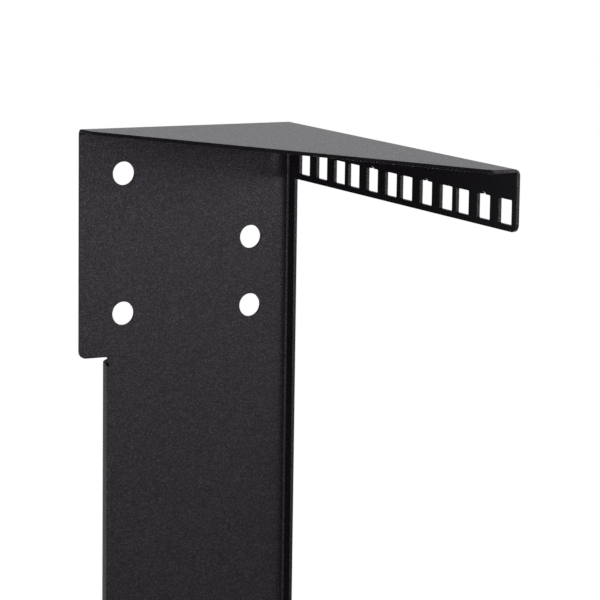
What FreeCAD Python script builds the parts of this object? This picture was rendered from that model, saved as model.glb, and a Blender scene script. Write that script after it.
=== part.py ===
import FreeCAD, Part
import math
import os

from FreeCAD import Vector

# Vertical wall bracket for four units of 19-inch rack equipment, folded from one steel sheet.
# Millimetres. The wall is the plane Y = 0 and the bracket stands out from it along -Y. +Z is up.
# The origin is on the wall, midway between the bolt-hole columns and midway up the bracket.

# Sheet and its bends
sheet = 1.5
bend_inside = 1.0

# Equipment standard: hole rows, unit pitch and the three holes of each unit
rail_row_spacing = 465.1
units = 4
unit_pitch = 44.45
unit_holes = (6.35, 22.225, 38.1)
square_hole = 9.5
square_corner = 0.4
notch_width = 3.0
notch_depth = 1.0

# Rails: wall to the first unit, last unit to the end, hole row to the outside of the gusset,
# and the metal left between the square holes and the rail's free edge
wall_to_units = 9.8
rail_end_margin = 1.8
row_to_outside = 16.9
rail_edge_margin = 2.5
rail_corner = 3.2

# Gussets: the stretches left at the two ends of the sloping edge. The one at the wall leans in
# from the ear's edge as it leaves the bend.
gusset_wall_flat = 12.3
gusset_end_lean = 1.1
gusset_front_flat = 11.6
gusset_corner = 1.5

# Wall panel: a column with a lip on each side, and ears that overhang it at both ends
column_width = 88.5
right_lip_depth = 7.2
left_lip_depth = 6.5
ear_overhang = 10.5
ear_height = 97.15
ear_corner = 3.0

# Bend relief where the left lip ends under each ear
relief_depth = 2.6
relief_slot = 0.9
relief_corner = 0.8
lip_gap = 1.7
lip_slope_run = 2.4
lip_slope_drop = 1.4

# Bolt holes: two columns set in from the ear's edge and the rail's face, and three rows
# counted from the outside of the gusset
bolt_hole = 10.0
bolt_inset_left = 20.05
bolt_inset_right = 19.45
bolt_first_row = 19.35
bolt_row_pitch = 29.75
left_column_rows = (0, 2)
right_column_rows = (1, 2)

# Places that follow from the sizes
bend_outside = bend_inside + sheet
top = rail_row_spacing / 2 + row_to_outside
depth = wall_to_units + units * unit_pitch + rail_end_margin
bolt_columns = column_width + ear_overhang - bolt_inset_left - bolt_inset_right
right = bolt_columns / 2 + bolt_inset_right
column_left = right - column_width
ear_left = column_left - ear_overhang
ear_edge = top - ear_height
rail_edge = rail_row_spacing / 2 - square_hole / 2 - rail_edge_margin
lip_end = ear_edge - lip_gap
relief_wall = column_left + relief_depth
# Cutting shapes run this far past the faces
past = 3 * sheet


def plane_point(plane, a, b):
    """A point of the XY, XZ or YZ plane."""
    if plane == "XY":
        return Vector(a, b, 0)
    if plane == "XZ":
        return Vector(a, 0, b)
    return Vector(0, a, b)


def outline(plane, corners):
    """A closed wire through the corners (a, b) or (a, b, radius), each radius a tangent arc."""
    points = [Vector(c[0], c[1], 0) for c in corners]
    radii = [c[2] if len(c) > 2 else 0.0 for c in corners]
    count = len(points)
    starts, ends, middles = [], [], []
    for i, point in enumerate(points):
        back = (points[i - 1] - point).normalize()
        ahead = (points[(i + 1) % count] - point).normalize()
        half = back.getAngle(ahead) / 2
        reach = radii[i] / math.tan(half)
        inward = (back + ahead).normalize()
        starts.append(point + back * reach)
        ends.append(point + ahead * reach)
        middles.append(point + inward * (radii[i] / math.sin(half) - radii[i]))
    edges = []
    for i in range(count):
        if radii[i]:
            arc = [plane_point(plane, p.x, p.y) for p in (starts[i], middles[i], ends[i])]
            edges.append(Part.Arc(*arc).toShape())
        a, b = ends[i], starts[(i + 1) % count]
        if (b - a).Length > 1e-6:
            line = [plane_point(plane, p.x, p.y) for p in (a, b)]
            edges.append(Part.LineSegment(*line).toShape())
    return Part.Wire(edges)


def prism(plane, corners, low, high):
    """The outline of a plane carried from low to high along the third axis."""
    axis = {"XY": Vector(0, 0, 1), "XZ": Vector(0, 1, 0), "YZ": Vector(1, 0, 0)}[plane]
    face = Part.Face(outline(plane, corners))
    face.translate(axis * low)
    return face.extrude(axis * (high - low))


def mirrored(corners):
    """The corners, then the same corners mirrored across the mid-height plane in reverse."""
    lower = [(c[0], -c[1]) + tuple(c[2:]) for c in reversed(corners)]
    return list(corners) + lower


def tray(inset, front, left, radius):
    """A block behind the bends, drawn in from the outer faces by inset, with its folds rounded."""
    block = Part.makeBox(
        right - inset - left, front - inset, 2 * (top - inset), Vector(left, -front, inset - top)
    )
    wall, side, end = -inset, right - inset, top - inset

    def is_fold(edge):
        middle = edge.CenterOfMass
        at_wall = abs(middle.y - wall) < 1e-6
        at_side = abs(middle.x - side) < 1e-6
        at_end = abs(abs(middle.z) - end) < 1e-6
        return (at_wall, at_side, at_end).count(True) == 2

    return block.makeFillet(radius, [e for e in block.Edges if is_fold(e)])


# Wall, two gussets and the right side as one thin folded tray with closed corners
solid_block = tray(0.0, depth, ear_left, bend_outside)
hollow = tray(sheet, depth + past, ear_left - past, bend_inside)
folded = solid_block.cut(hollow)

# Seen from above: the sloping edge of both gussets
gusset_plan = [
    (ear_left - past, past),
    (right + past, past),
    (right + past, -depth),
    (right - gusset_front_flat, -depth, gusset_corner),
    (ear_left + gusset_end_lean, -gusset_wall_flat, gusset_corner),
    (ear_left, -bend_outside),
    (ear_left - past, -bend_outside),
]
folded = folded.common(prism("XY", gusset_plan, -top - past, top + past))

# Seen from the side: two deep rails joined by the shallow lip
side_view = mirrored([
    (past, top + past),
    (-depth, top + past),
    (-depth, rail_edge, rail_corner),
    (-right_lip_depth, rail_edge),
])
folded = folded.common(prism("YZ", side_view, ear_left - past, right + past))

# Seen from the front: the ears, and the column as far as the foot of its left bend
front_view = mirrored([
    (right + past, top + past),
    (ear_left, top + past),
    (ear_left, ear_edge, ear_corner),
    (relief_wall, ear_edge, relief_corner),
])
folded = folded.common(prism("XZ", front_view, -depth - past, past))

# Left lip: bent section, cut off on a slant at both ends to clear the bend relief
lip_section = [
    (relief_wall + sheet, 0),
    (column_left, 0, bend_outside),
    (column_left, -left_lip_depth),
    (column_left + sheet, -left_lip_depth),
    (column_left + sheet, -sheet, bend_inside),
    (relief_wall + sheet, -sheet),
]
left_lip = prism("XY", lip_section, -ear_edge, ear_edge)
lip_front_view = mirrored([
    (relief_wall + sheet, ear_edge - relief_slot),
    (relief_wall, ear_edge - relief_slot),
    (column_left, lip_end),
])
left_lip = left_lip.common(prism("XZ", lip_front_view, -left_lip_depth - past, past))
lip_side_view = mirrored([
    (past, ear_edge),
    (-bend_outside, ear_edge),
    (-bend_outside, lip_end),
    (lip_slope_run - left_lip_depth, lip_end),
    (-left_lip_depth, lip_end - lip_slope_drop),
])
left_lip = left_lip.common(prism("YZ", lip_side_view, column_left - past, relief_wall + past))
folded = folded.fuse(left_lip)

# Bolt holes through the wall panel, the same at both ends
holes = []
for column, rows in ((-bolt_columns / 2, left_column_rows), (bolt_columns / 2, right_column_rows)):
    for row in rows:
        height = top - bolt_first_row - row * bolt_row_pitch
        for z in (height, -height):
            start = Vector(column, -sheet - past, z)
            holes.append(Part.makeCylinder(bolt_hole / 2, sheet + 2 * past, start, Vector(0, 1, 0)))

# Square cage-nut holes through both rails; the middle hole of each unit is notched outwards
half = square_hole / 2
row = rail_row_spacing / 2
notch_radius = (notch_width ** 2 / 4 + notch_depth ** 2) / (2 * notch_depth)
for unit in range(units):
    for place in unit_holes:
        y = -(wall_to_units + unit * unit_pitch + place)
        for end in (1, -1):
            z = end * row
            square = [
                (y - half, z - half, square_corner),
                (y + half, z - half, square_corner),
                (y + half, z + half, square_corner),
                (y - half, z + half, square_corner),
            ]
            holes.append(prism("YZ", square, right - sheet - past, right + past))
            if place == unit_holes[1]:
                centre = z + end * (half + notch_depth - notch_radius)
                start = Vector(right - sheet - past, y, centre)
                length = sheet + 2 * past
                holes.append(Part.makeCylinder(notch_radius, length, start, Vector(1, 0, 0)))

bracket = folded.cut(Part.makeCompound(holes)).removeSplitter()
if bracket.ShapeType != "Solid":
    bracket = bracket.Solids[0] if len(bracket.Solids) == 1 else bracket

os.makedirs("parts", exist_ok=True)
bracket.exportStep("parts/bracket.step")
box = bracket.BoundBox
print("bracket", bracket.ShapeType, "solids", len(bracket.Solids), "valid", bracket.isValid())
print("size mm", round(box.XLength, 3), round(box.YLength, 3), round(box.ZLength, 3))
print("volume mm3", round(bracket.Volume, 1), "faces", len(bracket.Faces))
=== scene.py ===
import bpy
import bmesh
import math
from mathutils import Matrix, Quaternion, Vector
from mathutils.geometry import tessellate_polygon


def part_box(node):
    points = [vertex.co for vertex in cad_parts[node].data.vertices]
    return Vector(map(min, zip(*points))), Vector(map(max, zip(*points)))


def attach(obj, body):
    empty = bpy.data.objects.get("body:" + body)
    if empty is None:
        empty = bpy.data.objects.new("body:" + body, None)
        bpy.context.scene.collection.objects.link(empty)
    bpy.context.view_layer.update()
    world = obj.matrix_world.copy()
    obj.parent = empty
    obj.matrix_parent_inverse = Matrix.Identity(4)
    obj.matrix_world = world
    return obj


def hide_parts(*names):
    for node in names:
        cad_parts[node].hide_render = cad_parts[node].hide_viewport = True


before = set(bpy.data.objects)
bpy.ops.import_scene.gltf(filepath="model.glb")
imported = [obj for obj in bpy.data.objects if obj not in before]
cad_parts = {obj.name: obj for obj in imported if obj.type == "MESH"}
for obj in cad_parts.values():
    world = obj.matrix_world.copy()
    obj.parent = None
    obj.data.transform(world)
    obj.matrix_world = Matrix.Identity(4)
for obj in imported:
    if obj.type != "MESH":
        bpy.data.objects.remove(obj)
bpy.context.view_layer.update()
sheetLow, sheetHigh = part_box("bracket")
mm = 0.001
print("frame loaded")

# The sheet's outer faces are laid out first, and get their thickness and soft edges at the end.
# Overall places come from the frame, the rest are the sizes of the folded sheet.
sheetSize = {
    "thickness": 1.5 * mm,
    "bend": 2.5 * mm,  # outside radius of every fold
    "bendSteps": 10,  # flats in a quarter turn
    "cornerSteps": 8,  # flats in a rounded corner of an outline
    "edgeRound": 0.2 * mm,  # sheared edge, softened by the paint
    "edgeSteps": 3,
    "weld": 0.002 * mm,  # points nearer than this become one
    "sharpAngle": 38,  # degrees, edges that turn more are shaded as creases
}
top = sheetHigh[2]
right = sheetHigh[0]
earLeft = sheetLow[0]
depth = -sheetLow[1]
bend = sheetSize["bend"]
toWall = Vector((0, 1, 0))
toRight = Vector((1, 0, 0))
toLeft = Vector((-1, 0, 0))

skin = bmesh.new()
outward = skin.verts.layers.float_vector.new("outward")  # which way is out of the metal


def roundedLoop(corners):
    # corners are (a, b) or (a, b, radius), and each radius becomes an arc tangent to both sides
    loop = []
    flat = [Vector(c[:2]) for c in corners]
    steps = sheetSize["cornerSteps"]
    for i, corner in enumerate(corners):
        if len(corner) < 3:
            loop.append(flat[i])
            continue
        back = (flat[i - 1] - flat[i]).normalized()
        ahead = (flat[(i + 1) % len(flat)] - flat[i]).normalized()
        half = back.angle(ahead) / 2
        centre = flat[i] + (back + ahead).normalized() * (corner[2] / math.sin(half))
        start = flat[i] + back * (corner[2] / math.tan(half)) - centre
        end = flat[i] + ahead * (corner[2] / math.tan(half)) - centre
        turn = start.angle_signed(end)
        for k in range(steps + 1):
            a = -turn * k / steps
            cos, sin = math.cos(a), math.sin(a)
            loop.append(centre + Vector((start.x * cos - start.y * sin, start.x * sin + start.y * cos)))
    return loop


def mirrored(corners):
    # the same corners again below mid-height, in reverse order
    return list(corners) + [(c[0], -c[1]) + tuple(c[2:]) for c in reversed(corners)]


def addPoint(place, direction):
    vert = skin.verts.new(place)
    vert[outward] = direction
    return vert


def addFlat(loops, toPlace, direction):
    # the first loop is the edge of the flat face, the others are holes in it
    verts = [addPoint(toPlace(p.x, p.y), direction) for loop in loops for p in loop]
    flatLoops = [[Vector((p.x, p.y, 0)) for p in loop] for loop in loops]
    for triangle in tessellate_polygon(flatLoops):
        skin.faces.new([verts[i] for i in triangle])


def addStrip(rows):
    # quads between rows of (place, direction) pairs
    made = [[addPoint(place, direction) for place, direction in row] for row in rows]
    for a, b in zip(made, made[1:]):
        for k in range(len(a) - 1):
            skin.faces.new((a[k], a[k + 1], b[k + 1], b[k]))


def quarter(first, second):
    # directions that turn from first to second through a right angle
    steps = sheetSize["bendSteps"]
    turns = [math.pi / 2 * k / steps for k in range(steps + 1)]
    return [first * math.cos(a) + second * math.sin(a) for a in turns]


# Wall panel: a column between two ears that overhang it, with a relief cut under each ear
panelSize = {
    "earHeight": 97.15 * mm,
    "earCorner": 3.0 * mm,
    "earOverhang": 10.5 * mm,
    "reliefDepth": 2.6 * mm,
    "reliefSlot": 0.9 * mm,
    "reliefCorner": 0.8 * mm,
    "lipGap": 1.7 * mm,  # from the ear's edge down to the end of the left lip
}
boltSize = {
    "radius": 5.0 * mm,
    "insetLeft": 20.05 * mm,  # from the ear's edge
    "insetRight": 19.45 * mm,  # from the rails' outer face
    "firstRow": 19.35 * mm,
    "rowPitch": 29.75 * mm,
    "leftRows": (0, 2),
    "rightRows": (1, 2),
    "steps": 48,
}
columnLeft = earLeft + panelSize["earOverhang"]
earEdge = top - panelSize["earHeight"]
lipEnd = earEdge - panelSize["lipGap"]
slotEnd = earEdge - panelSize["reliefSlot"]
reliefWall = columnLeft + panelSize["reliefDepth"]


def boltLoops():
    loops = []
    radius, steps = boltSize["radius"], boltSize["steps"]
    turns = [math.tau * k / steps for k in range(steps)]
    columns = (
        (earLeft + boltSize["insetLeft"], boltSize["leftRows"]),
        (right - boltSize["insetRight"], boltSize["rightRows"]),
    )
    for x, rows in columns:
        for row in rows:
            height = top - boltSize["firstRow"] - row * boltSize["rowPitch"]
            for z in (height, -height):
                loops.append([Vector((x + radius * math.cos(a), z + radius * math.sin(a))) for a in turns])
    return loops


def slantHeight(x):
    # height of the slanted cut over the left lip, where it crosses the fold at x
    share = (reliefWall - x) / panelSize["reliefDepth"]
    return slotEnd + share * (lipEnd - slotEnd)


def layPanel():
    edge = roundedLoop(mirrored([
        (right - bend, top - bend),
        (earLeft, top - bend),
        (earLeft, earEdge, panelSize["earCorner"]),
        (reliefWall, earEdge, panelSize["reliefCorner"]),
        (reliefWall, slotEnd),
        (columnLeft + bend, slantHeight(columnLeft + bend)),
    ]))
    addFlat([edge] + boltLoops(), lambda a, b: (a, 0, b), toWall)


layPanel()
print("wall panel laid out")

# Left lip: its fold is cut on the slant of the relief, and its free end on a second slant
lipSize = {
    "depth": 6.5 * mm,
    "slopeRun": 2.4 * mm,
    "slopeDrop": 1.4 * mm,
}


def layLeftLip():
    rows = []
    for direction in quarter(toWall, toLeft):
        x = columnLeft + bend + bend * direction.x
        y = -bend + bend * direction.y
        z = slantHeight(x)
        rows.append([(Vector((x, y, z)), direction), (Vector((x, y, -z)), direction)])
    addStrip(rows)
    edge = [Vector(p) for p in mirrored([
        (-bend, lipEnd),
        (lipSize["slopeRun"] - lipSize["depth"], lipEnd),
        (-lipSize["depth"], lipEnd - lipSize["slopeDrop"]),
    ])]
    addFlat([edge], lambda a, b: (columnLeft, a, b), toLeft)


layLeftLip()
print("left lip laid out")

# Gussets at both ends, with the folds round them and the rounded corner where three faces meet
gussetSize = {
    "wallFlat": 12.3 * mm,
    "endLean": 1.1 * mm,
    "frontFlat": 11.6 * mm,
    "corner": 1.5 * mm,
}


def layGussets():
    edge = roundedLoop([
        (earLeft, -bend),
        (right - bend, -bend),
        (right - bend, -depth),
        (right - gussetSize["frontFlat"], -depth, gussetSize["corner"]),
        (earLeft + gussetSize["endLean"], -gussetSize["wallFlat"], gussetSize["corner"]),
    ])
    inner = (right - bend, -bend)
    wallFold = ((earLeft, -bend), inner)
    railFold = (inner, (right - bend, -depth))
    for s in (1, -1):
        up = Vector((0, 0, s))
        level = s * (top - bend)
        addFlat([edge], lambda a, b: (a, b, s * top), up)
        for side, ends in ((toWall, wallFold), (toRight, railFold)):
            turns = quarter(side, up)
            addStrip([[(Vector((x, y, level)) + bend * d, d) for x, y in ends] for d in turns])
        centre = Vector((*inner, level))
        around = quarter(toWall, toRight)
        addStrip([[(centre + bend * d, d) for d in quarter(across, up)] for across in around])


def layRightFold():
    rows = []
    for direction in quarter(toWall, toRight):
        ends = [Vector((right - bend, -bend, s * (top - bend))) for s in (1, -1)]
        rows.append([(end + bend * direction, direction) for end in ends])
    addStrip(rows)


layGussets()
layRightFold()
print("gussets and folds laid out")


def addSockets(tree, way, kind, *names):
    for name in names:
        tree.interface.new_socket(name, in_out=way, socket_type="NodeSocket" + kind)


def mathNode(tree, kind, *values):
    # each value is a number or a socket
    node = tree.nodes.new("ShaderNodeMath")
    node.operation = kind
    for k, value in enumerate(values):
        if isinstance(value, bpy.types.NodeSocket):
            tree.links.new(value, node.inputs[k])
        else:
            node.inputs[k].default_value = value
    return node.outputs[0]


def smoothRange(tree, value, start, full):
    # 0 at start, 1 at full, and an even S-curve between them
    curve = tree.nodes.new("ShaderNodeMapRange")
    curve.interpolation_type = "SMOOTHSTEP"
    curve.inputs["From Min"].default_value = start
    curve.inputs["From Max"].default_value = full
    tree.links.new(value, curve.inputs["Value"])
    return curve.outputs[0]


# Powder coat: near-black paint with a violet cast, sprayed to a fine pebbled grain
coatLook = {
    "base": (0.0078, 0.0062, 0.0081, 1),
    "fleck": (0.082, 0.070, 0.084, 1),
    "fleckMetal": 0.8,
    "fleckSize": 0.36 * mm,
    "fleckStart": 0.40,  # share of the cells that stay plain
    "fleckFull": 0.90,  # above this share a cell is all fleck
    "sheen": (0.955, 0.905, 1.0, 1),  # of reflections seen straight on
    "specular": 0.43,
    "roughness": 0.19,
    "roughnessSpread": 0.12,
    "grain": 0.45 * mm,
    "grainHeight": 0.04 * mm,
    "grainDetail": 1.0,
}


def makeGrainGroup():
    group = bpy.data.node_groups.new("powderGrain", "ShaderNodeTree")
    addSockets(group, "INPUT", "Color", "Base", "Fleck")
    addSockets(group, "INPUT", "Float", "Fleck Metal", "Fleck Size", "Grain Size")
    addSockets(group, "INPUT", "Float", "Roughness", "Roughness Spread")
    addSockets(group, "OUTPUT", "Color", "Color")
    addSockets(group, "OUTPUT", "Float", "Metallic", "Roughness", "Height")
    nodes, links = group.nodes, group.links
    given = nodes.new("NodeGroupInput")
    result = nodes.new("NodeGroupOutput")
    place = nodes.new("ShaderNodeTexCoord")

    def texture(kind, size):
        node = nodes.new(kind)
        links.new(place.outputs["Object"], node.inputs["Vector"])
        links.new(mathNode(group, "DIVIDE", 1.0, given.outputs[size]), node.inputs["Scale"])
        return node

    grain = texture("ShaderNodeTexNoise", "Grain Size")
    grain.inputs["Detail"].default_value = coatLook["grainDetail"]
    links.new(grain.outputs["Fac"], result.inputs["Height"])

    # every cell has a random colour: its red says how much fleck it is, its green how rough
    cells = texture("ShaderNodeTexVoronoi", "Fleck Size")
    chance = nodes.new("ShaderNodeSeparateColor")
    links.new(cells.outputs["Color"], chance.inputs[0])
    pick = smoothRange(group, chance.outputs["Red"], coatLook["fleckStart"], coatLook["fleckFull"])
    color = nodes.new("ShaderNodeMix")  # its colours are inputs 6 and 7 and output 2
    color.data_type = "RGBA"
    links.new(pick, color.inputs["Factor"])
    links.new(given.outputs["Base"], color.inputs[6])
    links.new(given.outputs["Fleck"], color.inputs[7])
    links.new(color.outputs[2], result.inputs["Color"])
    metal = mathNode(group, "MULTIPLY", pick, given.outputs["Fleck Metal"])
    links.new(metal, result.inputs["Metallic"])
    extra = mathNode(group, "MULTIPLY", chance.outputs["Green"], given.outputs["Roughness Spread"])
    links.new(mathNode(group, "ADD", extra, given.outputs["Roughness"]), result.inputs["Roughness"])
    return group


def makeCoat():
    coat = bpy.data.materials.new("charcoalPowderCoat")
    coat.use_nodes = True
    nodes, links = coat.node_tree.nodes, coat.node_tree.links
    shader = nodes["Principled BSDF"]
    shader.inputs["Specular IOR Level"].default_value = coatLook["specular"]
    shader.inputs["Specular Tint"].default_value = coatLook["sheen"]
    grain = nodes.new("ShaderNodeGroup")
    grain.node_tree = makeGrainGroup()
    grainInputs = {
        "Base": "base",
        "Fleck": "fleck",
        "Fleck Metal": "fleckMetal",
        "Fleck Size": "fleckSize",
        "Grain Size": "grain",
        "Roughness": "roughness",
        "Roughness Spread": "roughnessSpread",
    }
    for name, look in grainInputs.items():
        grain.inputs[name].default_value = coatLook[look]
    bump = nodes.new("ShaderNodeBump")
    bump.inputs["Distance"].default_value = coatLook["grainHeight"]
    links.new(grain.outputs["Height"], bump.inputs["Height"])
    links.new(grain.outputs["Color"], shader.inputs["Base Color"])
    links.new(grain.outputs["Metallic"], shader.inputs["Metallic"])
    links.new(grain.outputs["Roughness"], shader.inputs["Roughness"])
    links.new(bump.outputs["Normal"], shader.inputs["Normal"])
    return coat


coat = makeCoat()
print("powder coat mixed")

# Right side: two deep rails joined by a shallow lip, with the rack standard's rows of square holes
railSize = {
    "rowSpacing": 465.1 * mm,
    "units": 4,
    "holesPerUnit": 3,
    "notchedStep": 1,  # the notched hole of each unit, counted from 0
    "unitPitch": 44.45 * mm,
    "firstHole": 6.35 * mm,
    "holeStep": 15.875 * mm,
    "wallToUnits": 9.8 * mm,
    "hole": 9.5 * mm,
    "holeCorner": 0.4 * mm,
    "notchWidth": 3.0 * mm,
    "notchDepth": 1.0 * mm,
    "notchSteps": 10,
    "edgeMargin": 2.5 * mm,  # metal between the holes and the free edge
    "freeCorner": 3.2 * mm,
    "lipDepth": 7.2 * mm,
}


def wireObject(name, loop):
    # a closed loop of edges, as an object that the rails' tree can take in
    mesh = bpy.data.meshes.new(name)
    count = len(loop)
    mesh.from_pydata([(p.x, p.y, 0) for p in loop], [(k, (k + 1) % count) for k in range(count)], [])
    wire = bpy.data.objects.new(name, mesh)
    bpy.context.scene.collection.objects.link(wire)
    return wire


def holeWire(name, notched):
    half = railSize["hole"] / 2
    corners = ((-half, -half), (half, -half), (half, half), (-half, half))
    loop = roundedLoop([(*corner, railSize["holeCorner"]) for corner in corners])
    if notched:
        width = railSize["notchWidth"]
        drop = railSize["notchDepth"]
        radius = (width ** 2 / 4 + drop ** 2) / (2 * drop)
        centre = half + drop - radius
        turn = math.asin(width / 2 / radius)
        steps = railSize["notchSteps"]
        turns = [turn * (1 - 2 * k / steps) for k in range(steps + 1)]
        arc = [Vector((radius * math.sin(a), centre + radius * math.cos(a))) for a in turns]
        after = 3 * (sheetSize["cornerSteps"] + 1)  # points up to the end of the third corner
        loop[after:after] = arc
    return wireObject(name, loop)


def makeRailTree():
    tree = bpy.data.node_groups.new("railHoles", "GeometryNodeTree")
    addSockets(tree, "INPUT", "Geometry", "Outline")
    addSockets(tree, "INPUT", "Object", "Plain Hole", "Notched Hole")
    addSockets(tree, "INPUT", "Int", "Units", "Holes Per Unit", "Notched Step")
    addSockets(tree, "INPUT", "Float", "Unit Pitch", "First Hole", "Hole Step")
    addSockets(tree, "INPUT", "Float", "Wall To Units", "Row Spacing")
    addSockets(tree, "INPUT", "Material", "Material")
    addSockets(tree, "OUTPUT", "Geometry", "Rails")
    nodes, links = tree.nodes, tree.links
    given = nodes.new("NodeGroupInput")
    result = nodes.new("NodeGroupOutput")

    # a hole's number over the holes per unit gives its unit, and the remainder its step there
    index = nodes.new("GeometryNodeInputIndex").outputs[0]
    perUnit = given.outputs["Holes Per Unit"]
    unit = mathNode(tree, "FLOOR", mathNode(tree, "DIVIDE", index, perUnit))
    step = mathNode(tree, "MODULO", index, perUnit)
    start = mathNode(tree, "ADD", given.outputs["Wall To Units"], given.outputs["First Hole"])
    along = mathNode(tree, "MULTIPLY_ADD", unit, given.outputs["Unit Pitch"], start)
    along = mathNode(tree, "MULTIPLY_ADD", step, given.outputs["Hole Step"], along)
    count = mathNode(tree, "MULTIPLY", given.outputs["Units"], perUnit)

    plain = nodes.new("GeometryNodeObjectInfo")
    links.new(given.outputs["Plain Hole"], plain.inputs["Object"])
    notched = nodes.new("GeometryNodeObjectInfo")
    links.new(given.outputs["Notched Hole"], notched.inputs["Object"])
    isNotched = nodes.new("FunctionNodeCompare")
    isNotched.data_type = "FLOAT"
    isNotched.operation = "EQUAL"
    links.new(step, isNotched.inputs[0])
    links.new(given.outputs["Notched Step"], isNotched.inputs[1])
    isPlain = nodes.new("FunctionNodeBooleanMath")
    isPlain.operation = "NOT"
    links.new(isNotched.outputs[0], isPlain.inputs[0])

    joined = nodes.new("GeometryNodeJoinGeometry")
    for s in (1, -1):
        points = nodes.new("GeometryNodeMeshLine")
        links.new(count, points.inputs["Count"])
        place = nodes.new("ShaderNodeCombineXYZ")
        links.new(mathNode(tree, "MULTIPLY", along, -1.0), place.inputs[0])
        links.new(mathNode(tree, "MULTIPLY", given.outputs["Row Spacing"], s / 2), place.inputs[1])
        setPlace = nodes.new("GeometryNodeSetPosition")
        links.new(points.outputs[0], setPlace.inputs["Geometry"])
        links.new(place.outputs[0], setPlace.inputs["Position"])
        turned = (0 if s > 0 else math.pi, 0, 0)  # the lower row's notches point down
        for shape, choice in ((plain, isPlain), (notched, isNotched)):
            copies = nodes.new("GeometryNodeInstanceOnPoints")
            copies.inputs["Rotation"].default_value = turned
            links.new(setPlace.outputs[0], copies.inputs["Points"])
            links.new(choice.outputs[0], copies.inputs["Selection"])
            links.new(shape.outputs["Geometry"], copies.inputs["Instance"])
            links.new(copies.outputs[0], joined.inputs[0])
    links.new(given.outputs["Outline"], joined.inputs[0])
    wires = nodes.new("GeometryNodeRealizeInstances")
    links.new(joined.outputs[0], wires.inputs[0])
    curves = nodes.new("GeometryNodeMeshToCurve")
    links.new(wires.outputs[0], curves.inputs[0])
    fill = nodes.new("GeometryNodeFillCurve")
    fill.mode = "TRIANGLES"
    links.new(curves.outputs[0], fill.inputs[0])
    real = nodes.new("GeometryNodeRealizeInstances")
    links.new(fill.outputs[0], real.inputs[0])
    paint = nodes.new("GeometryNodeSetMaterial")
    links.new(real.outputs[0], paint.inputs["Geometry"])
    links.new(given.outputs["Material"], paint.inputs["Material"])
    links.new(paint.outputs[0], result.inputs[0])
    return tree


def setInputs(modifier, values):
    # an input is set by its socket's identifier
    for item in modifier.node_group.interface.items_tree:
        if item.item_type == "SOCKET" and item.name in values:
            modifier[item.identifier] = values[item.name]


def layRails():
    railEdge = railSize["rowSpacing"] / 2 - railSize["hole"] / 2 - railSize["edgeMargin"]
    side = wireObject("sideOutline", roundedLoop(mirrored([
        (-bend, top - bend),
        (-depth, top - bend),
        (-depth, railEdge, railSize["freeCorner"]),
        (-railSize["lipDepth"], railEdge),
    ])))
    plainHole = holeWire("plainHole", False)
    notchedHole = holeWire("notchedHole", True)
    modifier = side.modifiers.new("railHoles", "NODES")
    modifier.node_group = makeRailTree()
    setInputs(modifier, {
        "Plain Hole": plainHole,
        "Notched Hole": notchedHole,
        "Units": railSize["units"],
        "Holes Per Unit": railSize["holesPerUnit"],
        "Notched Step": railSize["notchedStep"],
        "Unit Pitch": railSize["unitPitch"],
        "First Hole": railSize["firstHole"],
        "Hole Step": railSize["holeStep"],
        "Wall To Units": railSize["wallToUnits"],
        "Row Spacing": railSize["rowSpacing"],
        "Material": coat,
    })
    bpy.context.view_layer.update()
    ready = side.evaluated_get(bpy.context.evaluated_depsgraph_get())
    perforated = bpy.data.meshes.new_from_object(ready)
    verts = [addPoint((right, v.co.x, v.co.y), toRight) for v in perforated.vertices]
    for polygon in perforated.polygons:
        skin.faces.new([verts[k] for k in polygon.vertices])
    for helper in (side, plainHole, notchedHole):
        bpy.data.objects.remove(helper)
    print("rails perforated:", len(perforated.polygons), "faces")


layRails()


def weldSkin():
    bmesh.ops.remove_doubles(skin, verts=skin.verts, dist=sheetSize["weld"])
    bmesh.ops.recalc_face_normals(skin, faces=skin.faces)


def edgeProfile():
    # steps (out of the rim, down into the metal) round a sheared edge, from outer to inner face
    edgeRound = sheetSize["edgeRound"]
    steps = sheetSize["edgeSteps"]
    turns = [math.pi / 2 * k / steps for k in range(1, steps + 1)]
    upper = [(edgeRound * (math.sin(a) - 1), edgeRound * (math.cos(a) - 1)) for a in turns]
    return upper + [(out, -sheetSize["thickness"] - down) for out, down in reversed(upper)]


def rimDirections():
    # for each vertex of a free edge, the directions that lead off the sheet
    rims = {}
    for edge in skin.edges:
        if len(edge.link_faces) > 1:
            continue
        a, b = edge.verts
        lean = (a[outward] + b[outward]).normalized()
        away = (b.co - a.co).normalized().cross(lean)
        middle = (a.co + b.co) / 2
        if away.dot(middle - edge.link_faces[0].calc_center_median()) < 0:
            away = -away
        for vert in edge.verts:
            rims.setdefault(vert, []).append(away)
    return rims


def thickenSkin():
    # gives the skin its inner side and a rounded edge all round its rims
    rims = rimDirections()
    rimEdges = [edge for edge in skin.edges if len(edge.link_faces) == 1]
    outerFaces = list(skin.faces)
    inner = {}
    rings = {}
    for vert in list(skin.verts):
        direction = vert[outward].copy()
        place = vert.co.copy()
        if vert in rims:
            first, second = rims[vert]
            away = (first + second) / (1 + first.dot(second))
            vert.co = place - away * sheetSize["edgeRound"]
            ring = [place + away * out + direction * down for out, down in edgeProfile()]
            rings[vert] = [skin.verts.new(point) for point in ring]
        inner[vert] = skin.verts.new(vert.co - direction * sheetSize["thickness"])
    for face in outerFaces:
        skin.faces.new([inner[v] for v in reversed(face.verts)])
    for edge in rimEdges:
        chains = [[v] + rings[v] + [inner[v]] for v in edge.verts]
        for a, b, c, d in zip(chains[0], chains[1], chains[1][1:], chains[0][1:]):
            skin.faces.new((a, b, c, d))
    bmesh.ops.recalc_face_normals(skin, faces=skin.faces)


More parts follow.
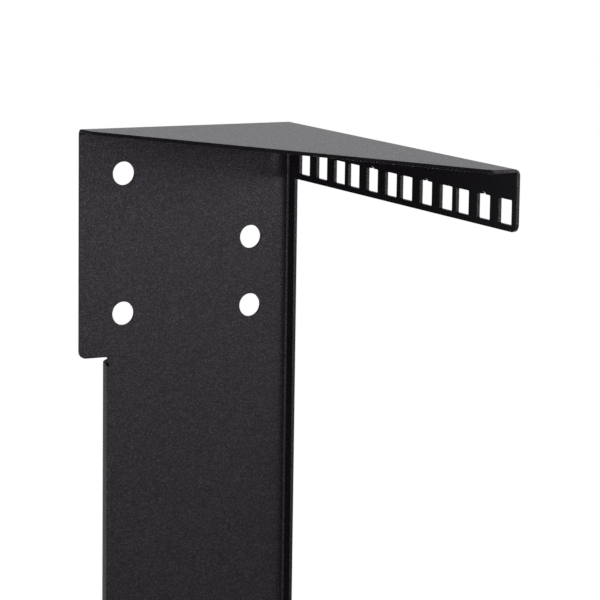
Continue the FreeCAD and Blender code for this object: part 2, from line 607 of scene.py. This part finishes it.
def makeBracket():
    weldSkin()
    thickenSkin()
    openEdges = sum(len(edge.link_faces) != 2 for edge in skin.edges)
    mesh = bpy.data.meshes.new("foldedBracket")
    skin.to_mesh(mesh)
    skin.free()
    mesh.attributes.remove(mesh.attributes["outward"])
    mesh.materials.append(coat)
    for polygon in mesh.polygons:
        polygon.use_smooth = True
    mesh.set_sharp_from_angle(angle=math.radians(sheetSize["sharpAngle"]))
    bracket = bpy.data.objects.new("foldedBracket", mesh)
    bpy.context.scene.collection.objects.link(bracket)
    flats = bracket.modifiers.new("flatFaces", "WEIGHTED_NORMAL")  # keeps flats flat beside folds
    flats.keep_sharp = True
    print("bracket folded:", len(mesh.polygons), "faces,", openEdges, "open edges")
    return bracket


bracket = makeBracket()
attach(bracket, "root")
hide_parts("bracket")

# Floor under the part. The camera sees it all but white, with the part's shadow on it. Reflections
# and light pass it by, and meet the studio's own pale lower half instead.
floorLook = {
    "low": (-4.0, -3.0),
    "high": (4.0, 3.0),
    "gap": 0.3 * mm,  # under the part
    "color": (0.80, 0.80, 0.80, 1),
    "white": 2.12,  # strength of its own glow
    "whiteShare": 0.4,  # how much of it glows, the rest is matt and takes the shadow
}


def makeFloor():
    z = sheetLow[2] - floorLook["gap"]
    (x1, y1), (x2, y2) = floorLook["low"], floorLook["high"]
    mesh = bpy.data.meshes.new("floor")
    mesh.from_pydata([(x1, y1, z), (x2, y1, z), (x2, y2, z), (x1, y2, z)], [], [(0, 1, 2, 3)])
    floor = bpy.data.objects.new("floor", mesh)
    bpy.context.scene.collection.objects.link(floor)
    paint = bpy.data.materials.new("paleFloor")
    paint.use_nodes = True
    tree = paint.node_tree
    tree.nodes.remove(tree.nodes["Principled BSDF"])
    matte = tree.nodes.new("ShaderNodeBsdfDiffuse")
    matte.inputs["Color"].default_value = floorLook["color"]
    white = tree.nodes.new("ShaderNodeEmission")
    white.inputs["Strength"].default_value = floorLook["white"]
    blend = tree.nodes.new("ShaderNodeMixShader")
    blend.inputs[0].default_value = floorLook["whiteShare"]
    tree.links.new(matte.outputs[0], blend.inputs[1])
    tree.links.new(white.outputs[0], blend.inputs[2])
    tree.links.new(blend.outputs[0], tree.nodes["Material Output"].inputs["Surface"])
    mesh.materials.append(paint)
    floor.visible_glossy = False
    floor.visible_diffuse = False
    floor.visible_shadow = False


makeFloor()

# Studio: white backdrop to the camera. Light and reflections come from soft-edged cards in a dim
# room, placed by azimuth and elevation in degrees as seen from the part.
studioLook = {
    "room": 0.10,
    "edge": 8.0,  # half the width of a card's soft edge
    "asLight": 0.9,  # share of the cards that lights matt surfaces
}
cardSet = {
    "backdrop": {"azimuth": 19, "elevation": -32, "width": 108, "height": 36, "level": 2.1},
    "right": {"azimuth": 68, "elevation": 8, "width": 40, "height": 20, "level": 0.50},
    "key": {"azimuth": -33, "elevation": 5, "width": 60, "height": 12, "level": 2.9},
    "keyEnd": {"azimuth": -58, "elevation": 4, "width": 18, "height": 20, "level": 1.2},
    "front": {"azimuth": -98, "elevation": 12, "width": 60, "height": 50, "level": 1.1},
    "left": {"azimuth": -159, "elevation": -8, "width": 24, "height": 24, "level": 0.7},
    "side": {"azimuth": 104, "elevation": -25, "width": 20, "height": 40, "level": 0.7},
    "ceiling": {"azimuth": 0, "elevation": 72, "width": 720, "height": 30, "level": 0.6},
}


def softEdge(tree, offset, width):
    # 1 within half the width of a card, fading to 0 past its edge
    edge = studioLook["edge"]
    return smoothRange(tree, mathNode(tree, "ABSOLUTE", offset), width / 2 + edge, width / 2 - edge)


def cardLight(tree, azimuth, elevation, card):
    # what a card adds in the given direction; the wrap finds the short way round to it
    around = mathNode(tree, "SUBTRACT", azimuth, card["azimuth"])
    around = softEdge(tree, mathNode(tree, "WRAP", around, 180.0, -180.0), card["width"])
    above = softEdge(tree, mathNode(tree, "SUBTRACT", elevation, card["elevation"]), card["height"])
    return mathNode(tree, "MULTIPLY", mathNode(tree, "MULTIPLY", around, above), card["level"])


def makeStudio():
    world = bpy.data.worlds.new("studio")
    world.use_nodes = True
    bpy.context.scene.world = world
    tree = world.node_tree
    background = tree.nodes["Background"]
    background.inputs["Color"].default_value = (1, 1, 1, 1)
    way = tree.nodes.new("ShaderNodeSeparateXYZ")
    tree.links.new(tree.nodes.new("ShaderNodeTexCoord").outputs["Generated"], way.inputs[0])
    azimuth = mathNode(tree, "DEGREES", mathNode(tree, "ARCTAN2", way.outputs[1], way.outputs[0]))
    elevation = mathNode(tree, "DEGREES", mathNode(tree, "ARCSINE", way.outputs[2]))
    level = studioLook["room"]
    for card in cardSet.values():
        level = mathNode(tree, "ADD", cardLight(tree, azimuth, elevation, card), level)
    rays = tree.nodes.new("ShaderNodeLightPath")
    # reflections get the cards in full, matt surfaces a share of them, and the camera plain white
    asLight = studioLook["asLight"]
    mirror = mathNode(tree, "MAXIMUM", rays.outputs["Is Glossy Ray"], rays.outputs["Is Transmission Ray"])
    share = mathNode(tree, "MULTIPLY_ADD", mirror, 1 - asLight, asLight)
    light = mathNode(tree, "MULTIPLY", level, share)
    strength = mathNode(tree, "MAXIMUM", light, rays.outputs["Is Camera Ray"])
    tree.links.new(strength, background.inputs["Strength"])


makeStudio()
print("floor and studio made")

# Camera at the photograph's viewing angle
cameraSize = {
    "place": (-0.50588, -1.09239, 0.37109),  # metres
    "aim": (0.05476, 0.0, 0.17093),  # a point on the wall
    "roll": 0.825,  # degrees
    "lens": 171.08,
    "sensor": 36,
}


def makeCamera():
    data = bpy.data.cameras.new("camera")
    data.lens = cameraSize["lens"]
    data.sensor_width = cameraSize["sensor"]
    camera = bpy.data.objects.new("camera", data)
    camera.location = cameraSize["place"]
    look = (Vector(cameraSize["aim"]) - camera.location).to_track_quat("-Z", "Y")
    camera.rotation_mode = "QUATERNION"
    camera.rotation_quaternion = look @ Quaternion((0, 0, 1), math.radians(cameraSize["roll"]))
    bpy.context.scene.collection.objects.link(camera)
    bpy.context.scene.camera = camera


makeCamera()
bpy.context.scene.view_settings.view_transform = "Standard"
print("camera placed")
